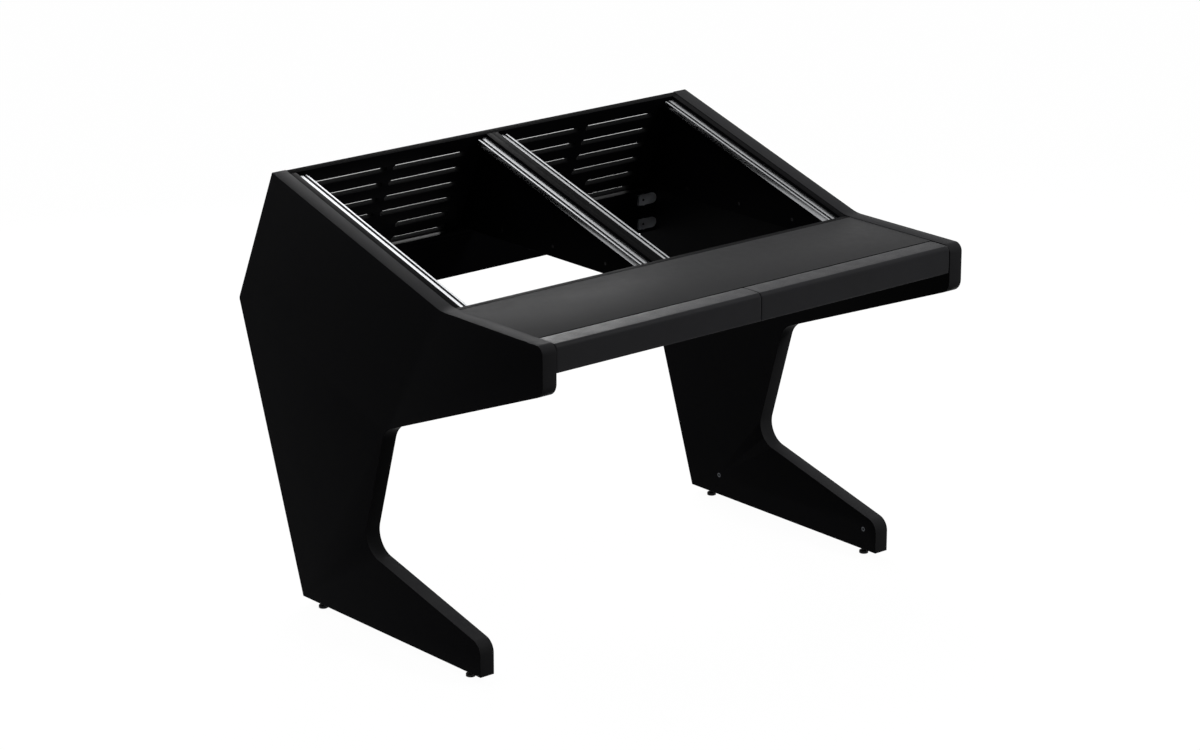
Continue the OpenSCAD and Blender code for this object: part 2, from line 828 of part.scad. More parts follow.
module rail_screws() {
    color(zinc_grey) in_frame() all_rail_screws(false);
}

module bay_screws() {
    color(plastic_black) in_frame() all_bay_screws(false);
}

module armrest_screws() {
    color(zinc_grey) in_frame() all_armrest_screws(false);
}

module cam_locks() {
    color(zinc_grey) in_frame()
        for (side = [0, 1]) {
            at_desk_cams(side) cam_lock(desk_top_t);
            at_front_cam(side) cam_lock(board_t);
        }
}

module cam_bolts() {
    color(zinc_grey) in_frame()
        for (side = [0, 1]) {
            at_desk_cams(side) cam_bolt();
            at_front_cam(side) cam_bolt();
        }
}

module wooden_dowels() {
    color(beech) in_frame() {
        for (side = [0, 1]) at_end_dowels(side) rod_x(dowel_d, -dowel_half, dowel_half);
        front_dowels(false);
    }
}

// Hole in the back board for a connector's boss and its bolt
module connector_cut() {
    rod_x(cam_pin_d + 2 * fit_gap, -cut_past, plate_axis);
    translate([plate_axis, 0, back_board_t / 2 - plate_boss_len - seat_gap])
        cylinder(d = plate_boss_d + 2 * fit_gap, h = plate_boss_len + seat_gap + cut_past, $fn = round_fn);
}

// Connector: a plate with one round end and two ears on the board, and a boss let into it
module connector_plate() {
    face = back_board_t / 2;
    difference() {
        union() {
            translate([0, 0, face]) linear_extrude(plate_t) {
                translate([plate_h / 2, 0]) circle(d = plate_h, $fn = 64);
                translate([plate_h / 2, -plate_h / 2]) square([plate_len - plate_h / 2, plate_h]);
                translate([plate_axis - plate_ear_w, -plate_ear_h / 2])
                    square([plate_ear_w, plate_ear_h]);
            }
            translate([plate_axis, 0, face - plate_boss_len])
                cylinder(d = plate_boss_d, h = plate_boss_len, $fn = round_fn);
        }
        translate([plate_axis, 0, face + plate_t - plate_screw_depth])
            cylinder(d = plate_screw_d, h = plate_screw_depth + cut_past, $fn = hole_fn);
        rod_x(cam_pin_d + 2 * channel_play, plate_axis - plate_boss_d, plate_axis);
    }
}

module connector_plates() {
    color(zinc_grey) in_frame()
        for (side = [0, 1]) at_connectors(side) connector_plate();
}

// Bolts from the side panels into the connectors' bosses
module connector_bolts() {
    color(zinc_grey) in_frame()
        for (side = [0, 1]) at_connectors(side) {
            rod_x(bolt_thread_d, -bolt_thread_len, 0);
            rod_x(cam_pin_d, 0, connector_bolt_len);
        }
}

// Threaded sleeves flush with the side panels' inner faces
module panel_inserts() {
    color(zinc_grey) in_frame()
        for (side = [0, 1]) at_inserts(side) difference() {
            rod_x(insert_d, -insert_len, 0, round_fn);
            rod_x(insert_bore_d, -insert_len - cut_past, cut_past);
        }
}

// Threaded sleeves of the feet in the side panels
module foot_inserts() {
    color(zinc_grey) in_frame()
        for (x = foot_xs, y = foot_ys)
            translate([x, y, seat_gap]) rotate([0, -90, 0]) difference() {
                rod_x(foot_sleeve_d, 0, foot_sleeve_len, round_fn);
                rod_x(foot_thread_d + 2 * fit_gap, -cut_past, foot_sleeve_len + cut_past, round_fn);
            }
}

// Foot stem below the panel's foot edge at z = 0: spigot, neck and threaded shank, turned in one
module foot_stem(side, row) {
    neck_low = foot_pad_h + foot_play - foot_h;
    shank_r = foot_thread_d / 2;
    neck_r = foot_neck_d / 2;
    in_frame() translate([foot_xs[side], foot_ys[row], 0]) rotate_extrude($fn = round_fn)
        polygon([
            [0, neck_low - foot_spigot_len],
            [shank_r, neck_low - foot_spigot_len],
            [shank_r, neck_low],
            [neck_r - pad_edge, neck_low],
            [neck_r, neck_low + pad_edge],
            [neck_r, 0],
            [shank_r, 0],
            [shank_r, foot_shank_len - pad_edge],
            [shank_r - pad_edge, foot_shank_len],
            [0, foot_shank_len]
        ]);
}

// Foot pad: a turned disc with softened edges and a socket for the stem's spigot
module foot_pad(side, row) {
    pad_r = foot_pad_d / 2;
    socket_r = foot_thread_d / 2 + fit_gap;
    socket_h = foot_spigot_len - foot_play + seat_gap;
    in_frame() translate([foot_xs[side], foot_ys[row], -foot_h]) rotate_extrude($fn = round_fn)
        polygon([
            [0, 0],
            [pad_r - pad_edge, 0],
            [pad_r, pad_edge],
            [pad_r, foot_pad_h - pad_edge],
            [pad_r - pad_edge, foot_pad_h],
            [socket_r, foot_pad_h],
            [socket_r, foot_pad_h - socket_h],
            [0, foot_pad_h - socket_h]
        ]);
}

module front_left_foot_stem() {
    color(plastic_black) foot_stem(0, 0);
}

module front_right_foot_stem() {
    color(plastic_black) foot_stem(1, 0);
}

module rear_left_foot_stem() {
    color(plastic_black) foot_stem(0, 1);
}

module rear_right_foot_stem() {
    color(plastic_black) foot_stem(1, 1);
}

module front_left_foot_pad() {
    color(plastic_black) foot_pad(0, 0);
}

module front_right_foot_pad() {
    color(plastic_black) foot_pad(1, 0);
}

module rear_left_foot_pad() {
    color(plastic_black) foot_pad(0, 1);
}

module rear_right_foot_pad() {
    color(plastic_black) foot_pad(1, 1);
}

left_side_panel();
right_side_panel();
left_bay_outer_board();
left_bay_inner_board();
right_bay_inner_board();
right_bay_outer_board();
front_board();
vent_board();
lower_back_board();
desk_top();
front_rail();
left_armrest_core();
right_armrest_core();
left_armrest_pad();
right_armrest_pad();
left_bay_left_rail();
left_bay_right_rail();
right_bay_left_rail();
right_bay_right_rail();
left_bay_left_strip();
left_bay_right_strip();
right_bay_left_strip();
right_bay_right_strip();
rail_screws();
bay_screws();
armrest_screws();
cam_locks();
cam_bolts();
wooden_dowels();
connector_plates();
connector_bolts();
panel_inserts();
foot_inserts();
front_left_foot_stem();
front_right_foot_stem();
rear_left_foot_stem();
rear_right_foot_stem();
front_left_foot_pad();
front_right_foot_pad();
rear_left_foot_pad();
rear_right_foot_pad();
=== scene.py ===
# Looks of the studio desk with two sloped 12U rack bays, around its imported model. Metres.
import math

import bmesh
import bpy
from mathutils import Matrix, Vector, noise


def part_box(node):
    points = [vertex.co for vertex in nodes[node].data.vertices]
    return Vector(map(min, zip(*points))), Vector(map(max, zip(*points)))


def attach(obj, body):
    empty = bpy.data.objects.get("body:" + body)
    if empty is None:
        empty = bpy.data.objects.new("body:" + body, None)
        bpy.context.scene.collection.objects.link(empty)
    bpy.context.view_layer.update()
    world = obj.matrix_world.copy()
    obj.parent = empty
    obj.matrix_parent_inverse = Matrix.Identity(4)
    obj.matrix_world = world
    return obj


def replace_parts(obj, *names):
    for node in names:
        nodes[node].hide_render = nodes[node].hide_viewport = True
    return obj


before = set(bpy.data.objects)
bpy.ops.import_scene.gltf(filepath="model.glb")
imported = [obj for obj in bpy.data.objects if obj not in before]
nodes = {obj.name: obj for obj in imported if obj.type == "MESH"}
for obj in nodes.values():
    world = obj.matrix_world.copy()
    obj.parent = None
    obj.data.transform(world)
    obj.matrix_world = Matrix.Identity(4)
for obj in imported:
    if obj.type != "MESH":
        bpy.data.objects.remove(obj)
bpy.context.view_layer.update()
scene = bpy.context.scene
MM = 0.001

# Angle of the rack slope above the level
SLOPE = math.radians(16.9)

# Rounding of the side panels' and the boards' edges after edge banding, and of the rails' extruded edges
PANEL_EASE = 0.9 * MM
BOARD_EASE = 0.2 * MM
RAIL_EASE = 0.2 * MM
# Rounding that the router leaves on the vent slots' rims, and how far such a rim reaches across the desk
SLOT_EASE = 0.7 * MM
SLOT_REACH = (100 * MM, 300 * MM)
# Facets of a rounded edge
EASE_STEPS = 3
# Least length of a rail's long edge, and least share of its direction that is up the slope
RAIL_EDGE = 20 * MM
RAIL_ALONG = 0.999
# Least share of a normal that is along a board's thickness on its two broad faces
BROAD = 0.9
# On the vent board, which leans back: least share along the desk's depth, and most across the desk
LEANING_DEPTH = 0.8
LEANING_ACROSS = 0.5

# Widest angle between faces that are shaded as one surface, on hard pieces and on the soft covers
SMOOTH = math.radians(20)
SOFT_SMOOTH = math.radians(60)
# Least angle of a sharp rim
RIM = math.radians(60)
# Widest angle within a flat face, and least area of a face that shows where a board ends
FLAT = math.radians(0.2)
FACE_AREA = 1 * MM * MM
# Distances below which two places are the same: on a mesh, and where its triangles are joined
NEAR = 0.01 * MM
WELD = 0.001 * MM

# Pan heads of the connector plates' screws: radius at the plate, radius at the top, and height
SCREW_R = 3.0 * MM
SCREW_TOP_R = 2.3 * MM
SCREW_HEAD = 1.3 * MM
SCREW_SEGMENTS = 32

# Feet: the stem's thread, its root and crest as shares of half a pitch, and its rows a turn
THREAD_R = 4 * MM
THREAD_PITCH = 1.25 * MM
THREAD_DEPTH = 0.767 * MM
THREAD_ROOT = 0.12
THREAD_CREST = 0.88
THREAD_STEPS = 8
# Points round the stem
STEM_SEGMENTS = 32
# The stem's neck, and its spigot that sits in the pad
NECK_R = 5.5 * MM
NECK_CHAMFER = 0.3 * MM
SPIGOT_R = THREAD_R - 0.1 * MM
SPIGOT_LEN = 3 * MM
SPIGOT_CHAMFER = 0.4 * MM
# The pad's socket for the spigot
SOCKET_R = THREAD_R + 0.05 * MM
SOCKET_DEPTH = 3.1 * MM
SOCKET_CHAMFER = 0.3 * MM
# The pad's fluted rim, its root and crest as shares of half a flute, and the points of a flute
FLUTES = 24
FLUTE_DEPTH = 0.5 * MM
FLUTE_ROOT = 0.15
FLUTE_CREST = 0.7
FLUTE_SEGMENTS = 6
# Rounding of a foot's neck and pad, chamfer of its stem's tip, and width of the ring round the pad's sole
FOOT_SOFT = 0.8 * MM
SOLE_RING = 4 * FOOT_SOFT
# Angle between the points of such a rounding
ARC_STEP = math.radians(30)

# Armrests: height of the padding's edges below its node's box, the crown between them, and the filling's
# most swell beyond it
PAD_INSET = 0.3 * MM
PAD_CROWN = 0.5 * MM
PAD_SWELL = 0.3 * MM
# Distance between the cover's points
PAD_STEP = 6 * MM
# Rounding of the front edge and its facets; on top it ends in a narrow crease that turns by an angle
PAD_RADIUS = 11.4 * MM
PAD_ARC_STEPS = 5
PAD_CREASE = math.radians(20)
PAD_FOLD = 0.5 * MM
# Rounding of the lower front edge and of the upper rear edge, each with the place of its middle point
PAD_TIGHT = 1.2 * MM
PAD_TIGHT_MIDDLE = 0.3 * PAD_TIGHT
PAD_REAR = 2 * MM
PAD_REAR_MIDDLE = 0.25 * PAD_REAR
# How far the padding draws in towards its ends: distance from the end and drawn in by, both in millimetres
PAD_ENDS = ((0.0, 2.0), (0.3, 1.2), (0.9, 0.55), (1.8, 0.15), (3.2, 0.0))
# Unevenness of the cover on its foam: height and length of its waves
PAD_WAVER = 0.06 * MM
PAD_WAVES = 45 * MM
# Play round the wooden core in its pocket, and how far the pocket's cut runs out past the back
POCKET_PLAY = 0.3 * MM
POCKET_PAST = 1 * MM
# The cover as cloth under its filling's pressure, and the steps in which it comes to rest
COVER_CLOTH = {"quality": 6, "mass": 0.4, "tension_stiffness": 40, "compression_stiffness": 40,
               "shear_stiffness": 20, "bending_stiffness": 2, "use_pressure": True,
               "uniform_pressure_force": 4}
CLOTH_STEPS = 20

# Name, size, power, place and target of each soft lamp
SOFTBOXES = (("rear_softbox", 1.4, 36, (1.2, 2.4, 1.8), (-0.3, -0.3, 0.76)),
             ("high_softbox", 0.9, 5, (0.9, 1.25, 2.6), (-0.5, 0.1, 0.85)),
             ("front_softbox", 1.2, 45, (1.6, -3.0, 3.2), (0.0, -0.5, 0.6)))
# The lit ceiling: strength, spread of its light, and how it leans
CEILING_LIGHT = 0.9
CEILING_SPREAD = math.radians(50)
CEILING_LEAN = (math.radians(-26), math.radians(-6), 0)
# The floor: half its width, its paint, and the white that it shows
FLOOR_REACH = 30
FLOOR_PAINT = 0.06
FLOOR_WHITE = 0.975
# Light that the white surround gives the desk
SURROUND_LIGHT = 0.05

# Camera, worked out from straight edges in the photograph: lens and sensor in millimetres, place, turn,
# and how far it sees
LENS = 114.62
SENSOR = 36.0
CAMERA_AT = (-4.95522, -5.83732, 2.90925)
CAMERA_TURN = (math.radians(90 - 17.740), 0, math.radians(-40.339))
CAMERA_SEES = 100

# Width of a noise pattern's lumps at scale 1, settings of a soft noise, and the range where most noise lies
LUMP = 0.5
SOFT = {"Detail": 3.0, "Roughness": 0.55}
MOST = {"From Min": 0.3, "From Max": 0.7}


# Materials

def linear(code):
    """Linear colour of an sRGB hex value such as 3a3a3c."""
    parts = [int(code[k:k + 2], 16) / 255 for k in (0, 2, 4)]
    return [c / 12.92 if c <= 0.04045 else ((c + 0.055) / 1.055) ** 2.4 for c in parts] + [1.0]


def fill(tree, node, inputs):
    """Gives each named input of a node its value or its link."""
    for key, value in inputs.items():
        if isinstance(value, bpy.types.NodeSocket):
            tree.links.new(value, node.inputs[key])
        else:
            node.inputs[key].default_value = value


def add(tree, kind, inputs=None, **settings):
    """Adds a node with its settings, and fills its inputs with values and links."""
    node = tree.nodes.new(kind if "Node" in kind else "ShaderNode" + kind)
    for key, value in settings.items():
        setattr(node, key, value)
    fill(tree, node, inputs or {})
    return node


def begin(name):
    """A new material with its tree and its Object coordinates."""
    made = bpy.data.materials.new(name)
    made.use_nodes = True
    tree = made.node_tree
    return made, tree, add(tree, "TexCoord").outputs["Object"]


def finished(made, tint, colours, height, depth, strength, inputs):
    """Ends a material: tint mixes its colours, height raises it up to a depth, inputs go to its shader."""
    tree = made.node_tree
    first, second = colours
    colour = add(tree, "Mix", {"Factor": tint, 6: linear(first), 7: linear(second)},
                 data_type="RGBA").outputs[2]
    relief = add(tree, "Bump", {"Height": height, "Distance": depth, "Strength": strength}).outputs["Normal"]
    fill(tree, tree.nodes["Principled BSDF"], {"Base Color": colour, "Normal": relief, **inputs})
    return made


def laminate(name, colours, roughness, gloss, wear):
    """Melamine-faced board, pressed with a pearl texture: a matt skin whose fine lumps break up the light."""
    made, tree, where = begin(name)
    # The real pearl grain is about 0.8 mm; it is drawn at 1.6 mm so that it shows
    pearl = add(tree, "TexVoronoi", {"Vector": where, "Scale": 1 / (1.6 * MM)}).outputs["Distance"]
    cloud = add(tree, "TexNoise", {**SOFT, "Vector": where, "Scale": LUMP / (60 * MM)}).outputs["Fac"]
    streak = add(tree, "TexNoise", {**SOFT, "Vector": where, "Scale": LUMP / (9 * MM),
                                    "Detail": 5.0}).outputs["Fac"]
    tint = add(tree, "MapRange", {**MOST, "Value": cloud, "To Min": 0.15, "To Max": 0.85}).outputs[0]
    wide = add(tree, "MapRange", {**MOST, "Value": cloud, "To Min": -0.03, "To Max": 0.03}).outputs[0]
    fine = add(tree, "MapRange", {**MOST, "Value": streak, "To Min": -0.03, "To Max": 0.03}).outputs[0]
    mottled = add(tree, "Math", {0: wide, 1: fine}).outputs[0]
    rough = add(tree, "Math", {0: mottled, 1: roughness}).outputs[0]
    return finished(made, tint, colours, pearl, 0.06 * MM, wear,
                    {"Roughness": rough, "Specular IOR Level": gloss})


def edging(name, colours, roughness, gloss):
    """ABS edging, extruded, glued on and milled flush: smoother than the boards, with faint milling marks."""
    made, tree, where = begin(name)
    cloud = add(tree, "TexNoise", {**SOFT, "Vector": where, "Scale": LUMP / (40 * MM)}).outputs["Fac"]
    # Cutter marks about 1 mm apart
    marks = add(tree, "TexNoise", {"Vector": where, "Scale": LUMP / (1.0 * MM), "Detail": 2.0}).outputs["Fac"]
    tint = add(tree, "MapRange", {**MOST, "Value": cloud, "To Min": 0.1, "To Max": 0.9}).outputs[0]
    rough = add(tree, "MapRange", {**MOST, "Value": cloud, "To Min": roughness - 0.05,
                                   "To Max": roughness + 0.06}).outputs[0]
    return finished(made, tint, colours, marks, 0.03 * MM, 0.3,
                    {"Roughness": rough, "Specular IOR Level": gloss})


def leatherette(name, colours):
    """Leatherette, vinyl embossed with a hide grain on a knitted back: soft pebbles with a satin sheen."""
    made, tree, where = begin(name)
    # Pebbles of about 1.2 mm with creases between them, drawn at 1.8 mm so that they show
    pebbles = add(tree, "TexVoronoi", {"Vector": where, "Scale": 1 / (1.8 * MM)},
                  feature="DISTANCE_TO_EDGE").outputs["Distance"]
    creases = add(tree, "MapRange", {"Value": pebbles, "From Min": 0.0, "From Max": 0.12}).outputs[0]
    soft = add(tree, "TexNoise", {**SOFT, "Vector": where, "Scale": LUMP / (12 * MM),
                                  "Detail": 4.0}).outputs["Fac"]
    cloud = add(tree, "TexNoise", {**SOFT, "Vector": where, "Scale": LUMP / (90 * MM)}).outputs["Fac"]
    tint = add(tree, "MapRange", {**MOST, "Value": cloud, "To Min": 0.1, "To Max": 0.9}).outputs[0]
    rough = add(tree, "MapRange", {**MOST, "Value": soft, "To Min": 0.40, "To Max": 0.50}).outputs[0]
    dimples = add(tree, "MapRange", {**MOST, "Value": soft, "To Min": 0.0, "To Max": 1.2}).outputs[0]
    hide = add(tree, "Math", {0: creases, 1: dimples}).outputs[0]
    return finished(made, tint, colours, hide, 0.07 * MM, 0.45,
                    {"Roughness": rough, "Specular IOR Level": 0.08})


def anodised(name, colours, roughness):
    """Natural anodised aluminium, extruded: a silky grey metal with die lines along its length."""
    made, tree, where = begin(name)
    # Die lines about 0.5 mm apart, drawn at 0.9 mm so that they show, each some 300 mm long up the rack slope
    across = 1 / (0.9 * MM)
    along = 1 / (300 * MM)
    level = add(tree, "Mapping", {"Vector": where, "Rotation": (-SLOPE, 0, 0)}).outputs[0]
    drawn = add(tree, "Mapping", {"Vector": level, "Scale": (across, along, across)}).outputs[0]
    lines = add(tree, "TexNoise", {"Vector": drawn, "Scale": 1.0, "Detail": 2.0}).outputs["Fac"]
    cloud = add(tree, "TexNoise", {**SOFT, "Vector": where, "Scale": LUMP / (50 * MM)}).outputs["Fac"]
    tint = add(tree, "MapRange", {**MOST, "Value": lines}).outputs[0]
    fine = add(tree, "MapRange", {**MOST, "Value": lines, "To Max": 0.08}).outputs[0]
    wide = add(tree, "MapRange", {**MOST, "Value": cloud, "To Min": roughness - 0.03,
                                  "To Max": roughness + 0.04}).outputs[0]
    rough = add(tree, "Math", {0: fine, 1: wide}).outputs[0]
    return finished(made, tint, colours, lines, 0.006 * MM, 0.3, {"Roughness": rough, "Metallic": 1.0})


def plated(name, colours, roughness, crystal):
    """Plated or blackened steel, or die-cast zinc: a metal dulled by fine crystals, a little cloudy."""
    made, tree, where = begin(name)
    # Clouds eight crystals wide
    cloud = add(tree, "TexNoise", {**SOFT, "Vector": where, "Scale": LUMP / (8 * crystal)}).outputs["Fac"]
    fine = add(tree, "TexNoise", {**SOFT, "Vector": where, "Scale": LUMP / crystal}).outputs["Fac"]
    tint = add(tree, "MapRange", {**MOST, "Value": cloud}).outputs[0]
    rough = add(tree, "MapRange", {**MOST, "Value": cloud, "To Min": roughness - 0.06,
                                   "To Max": roughness + 0.08}).outputs[0]
    return finished(made, tint, colours, fine, 0.02 * MM, 0.3, {"Roughness": rough, "Metallic": 1.0})


def moulded(name, colours):
    """Black nylon, moulded: a satin skin with a spark-eroded grain."""
    made, tree, where = begin(name)
    fine = add(tree, "TexNoise", {**SOFT, "Vector": where, "Scale": LUMP / (0.8 * MM),
                                  "Detail": 4.0}).outputs["Fac"]
    cloud = add(tree, "TexNoise", {**SOFT, "Vector": where, "Scale": LUMP / (10 * MM)}).outputs["Fac"]
    rough = add(tree, "MapRange", {**MOST, "Value": fine, "To Min": 0.42, "To Max": 0.56}).outputs[0]
    return finished(made, cloud, colours, fine, 0.04 * MM, 0.5,
                    {"Roughness": rough, "IOR": 1.53, "Specular IOR Level": 0.12})


def wood(name, colours, ring):
    """Raw wood, sawn and sanded, with its grain across the desk: pale bands and short pores."""
    made, tree, where = begin(name)
    # Drawn out twelve times along the grain
    grown = add(tree, "Mapping", {"Vector": where, "Scale": (0.08, 1.0, 1.0)}).outputs[0]
    bands = add(tree, "TexWave", {"Vector": grown, "Scale": LUMP / ring, "Distortion": 4.0, "Detail": 3.0,
                                  "Detail Scale": 1.5}, bands_direction="Z").outputs["Fac"]
    pores = add(tree, "TexNoise", {**SOFT, "Vector": grown, "Scale": LUMP / (0.6 * MM)}).outputs["Fac"]
    rough = add(tree, "MapRange", {**MOST, "Value": pores, "To Min": 0.55, "To Max": 0.75}).outputs[0]
    return finished(made, bands, colours, pores, 0.08 * MM, 0.6, {"Roughness": rough})


# The side panels' broad faces take a far darker copy of the laminate that their edging and the desk top show:
# painted shade on the panels' sides
PANEL_BLACK_PAINTED_SHADE = laminate("melamine_panel", ("111113", "151517"), 0.46, 0.012, 0.35)
BOARD_BLACK = laminate("melamine_board", ("08080a", "0b0b0d"), 0.50, 0.006, 0.35)
DESK_BLACK = laminate("melamine_desk_top", ("3b3b3c", "3f3f40"), 0.38, 0.005, 0.30)
PANEL_EDGING = edging("abs_panel_edging", ("38383a", "3d3d3e"), 0.34, 0.004)
BOARD_EDGING = edging("abs_board_edging", ("121213", "161617"), 0.36, 0.005)
LEATHERETTE = leatherette("embossed_leatherette", ("252527", "29292c"))
ALUMINIUM = anodised("anodised_extrusion", ("949597", "a2a3a5"), 0.20)
ZINC = plated("bright_zinc_plate", ("54575a", "6b6e70"), 0.34, 1.0 * MM)
DIE_CAST = plated("die_cast_zinc", ("737579", "84868a"), 0.50, 1.5 * MM)
INSERT = plated("dull_zinc_insert", ("3c3e41", "4a4c4f"), 0.40, 1.0 * MM)
BLACK_ZINC = plated("black_zinc_plate", ("1c1d1f", "2a2b2d"), 0.42, 1.0 * MM)
BLACK_OXIDE = plated("black_oxide_steel", ("101011", "1b1b1c"), 0.45, 0.8 * MM)
NYLON = moulded("moulded_nylon", ("09090a", "0e0e0f"))
PLYWOOD = wood("birch_plywood", ("c9a878", "a07a4c"), 3.0 * MM)
BEECH = wood("raw_beech", ("d0a878", "b98c5c"), 1.6 * MM)


# Pieces

def placed(name, data):
    """A new object in the scene."""
    made = bpy.data.objects.new(name, data)
    scene.collection.objects.link(made)
    return made


def piece(name, mesh, body):
    """A new object for a finished mesh, riding on a body."""
    made = placed(name, mesh)
    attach(made, body)
    return made


def mesh_of(name, bm):
    """A new mesh from a bmesh, which ends with it."""
    mesh = bpy.data.meshes.new(name)
    bm.to_mesh(mesh)
    bm.free()
    return mesh


def crisp(mesh, angle=SMOOTH):
    """Shades shallow angles as one surface and keeps the rest sharp."""
    mesh.polygons.foreach_set("use_smooth", [True] * len(mesh.polygons))
    mesh.set_sharp_from_angle(angle=angle)
    mesh.update()


# Boards and rails with rounded edges

def welded(node):
    """A node's CAD mesh as one closed bmesh whose flat faces are whole again."""
    bm = bmesh.new()
    bm.from_mesh(nodes[node].data)
    bmesh.ops.remove_doubles(bm, verts=bm.verts, dist=WELD)
    bmesh.ops.dissolve_limit(bm, angle_limit=FLAT, verts=bm.verts, edges=bm.edges)
    bm.normal_update()
    return bm


def outer_edges(bm):
    """Edges of a convex board's outside: both of their faces carry the whole board on one side."""
    points = [v.co.copy() for v in bm.verts]
    bearing = {}
    for face in bm.faces:
        at = face.normal.dot(face.verts[0].co)
        bearing[face] = face.calc_area() > FACE_AREA and all(face.normal.dot(p) < at + NEAR for p in points)
    return [e for e in bm.edges if len(e.link_faces) == 2 and all(bearing[f] for f in e.link_faces)
            and e.calc_face_angle() > SMOOTH]


def outline_edges(bm):
    """Edges where a side panel's two faces meet its rim, but not those of its drilled holes."""
    outer_x = max((v.co.x for v in bm.verts), key=abs)
    # Places to a hundredth of a millimetre
    places = {v: (round(v.co.y, 5), round(v.co.z, 5)) for v in bm.verts}
    outline = {places[v] for v in bm.verts if abs(v.co.x - outer_x) < NEAR}
    return [e for e in bm.edges if len(e.link_faces) == 2 and e.calc_face_angle() > SMOOTH
            and all(places[v] in outline for v in e.verts)]


def slot_rims(bm):
    """Rims of the vent slots: closed runs of sharp edges that reach as far across as a slot does."""
    least, most = SLOT_REACH
    sharp = {e for e in bm.edges if len(e.link_faces) == 2 and e.calc_face_angle_signed() > RIM}
    rims = set()
    while sharp:
        run = [sharp.pop()]
        for edge in run:
            for near in {e for v in edge.verts for e in v.link_edges} & sharp:
                sharp.discard(near)
                run.append(near)
        across = [v.co.x for e in run for v in e.verts]
        if least < max(across) - min(across) < most:
            rims.update(run)
    # In the mesh's own order
    return [e for e in bm.edges if e in rims]


def long_edges(bm):
    """Outward edges of an extrusion that lies up the rack slope, along its length."""
    up_slope = Vector((0, math.cos(SLOPE), math.sin(SLOPE)))
    return [e for e in bm.edges if len(e.link_faces) == 2 and e.calc_face_angle_signed() > SMOOTH
            and e.calc_length() > RAIL_EDGE
            and abs((e.verts[0].co - e.verts[1].co).normalized().dot(up_slope)) > RAIL_ALONG]


def upright_face(normal):
    """Whether this is a broad face of a board that stands along the desk's depth."""
    return abs(normal.x) > BROAD


def front_face(normal):
    """Whether this is a broad face of a board that stands across the desk."""
    return abs(normal.y) > BROAD


def level_face(normal):
    """Whether this is a broad face of a level board."""
    return abs(normal.z) > BROAD


def leaning_face(normal):
    """Whether this is a broad face of the vent board."""
    return abs(normal.x) < LEANING_ACROSS and abs(normal.y) > LEANING_DEPTH


def any_face(normal):
    """Every face, for a piece with one finish."""
    return True


def eased(node, bevels, face_finish, edge_finish, is_face):
    """A copy of a CAD board with rounded edges, in the finish of its faces and its edging."""
    bm = welded(node)
    for edges_of, ease in bevels:
        bmesh.ops.bevel(bm, geom=edges_of(bm), offset=ease, offset_type="OFFSET", segments=EASE_STEPS,
                        profile=0.5, affect="EDGES", clamp_overlap=False)
    bm.normal_update()
    for face in bm.faces:
        face.material_index = 0 if is_face(face.normal) else 1
    mesh = mesh_of(node, bm)
    mesh.materials.append(face_finish)
    mesh.materials.append(edge_finish)
    crisp(mesh)
    made = piece(node + "_eased", mesh, "desk")
    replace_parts(made, node)


BOARD_BEVELS = [(outer_edges, BOARD_EASE)]
# On the side panels the broad faces get the darker copy, which is painted shade, and the rims get the lighter
# edging
for name in ("left_side_panel", "right_side_panel"):
    eased(name, [(outline_edges, PANEL_EASE)], PANEL_BLACK_PAINTED_SHADE, PANEL_EDGING, upright_face)
for name in ("left_bay_outer_board", "left_bay_inner_board",
             "right_bay_inner_board", "right_bay_outer_board"):
    eased(name, BOARD_BEVELS, BOARD_BLACK, BOARD_EDGING, upright_face)
for name in ("front_board", "lower_back_board", "front_rail"):
    eased(name, BOARD_BEVELS, BOARD_BLACK, BOARD_EDGING, front_face)
eased("vent_board", BOARD_BEVELS + [(slot_rims, SLOT_EASE)], BOARD_BLACK, BOARD_EDGING, leaning_face)
eased("desk_top", BOARD_BEVELS, DESK_BLACK, BOARD_EDGING, level_face)
for name in ("left_bay_left_rail", "left_bay_right_rail", "right_bay_left_rail", "right_bay_right_rail"):
    eased(name, [(long_edges, RAIL_EASE)], ALUMINIUM, ALUMINIUM, any_face)


# Finishes of the pieces that keep their CAD shape

KEPT_SHAPES = (
    (BLACK_ZINC, ("left_bay_left_strip", "left_bay_right_strip",
                  "right_bay_left_strip", "right_bay_right_strip")),
    (ZINC, ("rail_screws", "armrest_screws", "cam_bolts", "connector_bolts", "foot_inserts")),
    (INSERT, ("panel_inserts",)),
    (DIE_CAST, ("cam_locks", "connector_plates")),
    (BLACK_OXIDE, ("bay_screws",)),
    (BEECH, ("wooden_dowels",)),
    (PLYWOOD, ("left_armrest_core", "right_armrest_core")),
)
for finish, names in KEPT_SHAPES:
    for name in names:
        nodes[name].data.materials.clear()
        nodes[name].data.materials.append(finish)


# Screws of the connector plates

def connector_screws():
    """Black pan heads on the four plates, each over its boss, which is found by the boss's far end."""
    low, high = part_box("connector_plates")
    middle = (low + high) / 2
    boss_ends = [v.co for v in nodes["connector_plates"].data.vertices if v.co.y > high.y - NEAR]
    bm = bmesh.new()
    for right in (False, True):
        for upper in (False, True):
            rim = [p for p in boss_ends if (p.x > middle.x) == right and (p.z > middle.z) == upper]
            centre = sum(rim, Vector()) / len(rim)
            seat = Vector((centre.x, low.y - SCREW_HEAD / 2, centre.z))
            bmesh.ops.create_cone(bm, cap_ends=True, segments=SCREW_SEGMENTS, radius1=SCREW_R,
                                  radius2=SCREW_TOP_R, depth=SCREW_HEAD,
                                  matrix=Matrix.Translation(seat) @ Matrix.Rotation(math.radians(90), 4, "X"))
    mesh = mesh_of("connector_screws", bm)
    mesh.materials.append(BLACK_OXIDE)
    crisp(mesh)
    piece("connector_screws", mesh, "desk")


connector_screws()


# Feet

